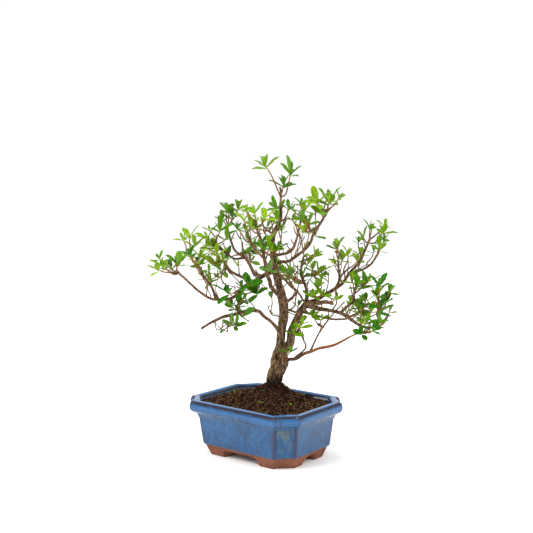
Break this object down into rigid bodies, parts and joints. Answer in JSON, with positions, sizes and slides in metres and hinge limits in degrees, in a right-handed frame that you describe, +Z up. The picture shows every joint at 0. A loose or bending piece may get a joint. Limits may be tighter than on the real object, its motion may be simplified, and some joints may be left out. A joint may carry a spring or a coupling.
{
  "type": "rhododendron bonsai",
  "caption": "Small-leaved rhododendron trained as a bonsai, with an open crown of leaf rosettes, in a blue glazed clay tray with cut corners and bare clay feet.",
  "frame": {"origin": "middle of the whole plant's footprint, on the surface that the pot's feet stand on", "axes": "+X along the pot's long side, +Y along its short side towards the side that the trunk stands nearer to, +Z up"},
  "size_m": [0.2272, 0.2476, 0.342],
  "materials": {
    "blue_glaze": "glossy cobalt blue glaze over red-brown stoneware, bare at the feet",
    "potting_soil": "dark crumbly potting soil",
    "old_bark": "grey-brown flaking bark",
    "leaf_mid": "mid green leaves on brown twigs",
    "leaf_light": "fresh yellow-green leaves on brown twigs",
    "leaf_deep": "deep green leaves on brown twigs"
  },
  "bodies": {
    "root": {"pot": "blue_glaze", "soil": "potting_soil", "trunk": "old_bark", "right_stem": "old_bark", "low_left_limb": "old_bark", "left_limb": "old_bark", "left_stem": "old_bark", "upper_right_bough": "old_bark", "upper_back_bough": "old_bark", "whip": "old_bark", "young_whip": "old_bark", "right_limb": "old_bark", "right_low_limb": "old_bark", "right_rise": "old_bark", "centre_right_stem": "old_bark", "left_sweep": "old_bark", "left_inner": "old_bark", "upper_left_limb": "old_bark", "left_riser": "old_bark", "left_mid_bough": "old_bark", "right_riser": "old_bark", "whip_upper": "old_bark", "right_mid_riser": "old_bark", "right_out_twig": "old_bark", "top_crown": "leaf_mid", "upper_right_tip": "leaf_light", "upper_back": "leaf_deep", "leader_side": "leaf_mid", "mid_right_crown": "leaf_light", "top_left_back": "leaf_deep", "top_left_front": "leaf_mid", "front_top": "leaf_light", "centre_top": "leaf_deep", "left_upper": "leaf_mid", "left_outer": "leaf_light", "left_mid_back": "leaf_deep", "left_mid": "leaf_mid", "left_cluster": "leaf_light", "far_left": "leaf_deep", "inner_left": "leaf_mid", "centre_front": "leaf_light", "left_low": "leaf_deep", "left_low_inner": "leaf_mid", "left_low_outer": "leaf_light", "fork_sprout": "leaf_deep", "trunk_sprout": "leaf_mid", "centre_right": "leaf_light", "right_mid_back": "leaf_deep", "right_mid": "leaf_mid", "right_inner": "leaf_light", "right_upper_back": "leaf_deep", "right_upper": "leaf_mid", "right_top": "leaf_light", "right_out": "leaf_deep", "right_cluster_top": "leaf_mid", "right_cluster_mid": "leaf_light", "right_cluster_low": "leaf_deep", "right_cluster_bottom": "leaf_mid", "right_back": "leaf_light", "whip_leaves": "leaf_deep"}
  },
  "joints": []
}
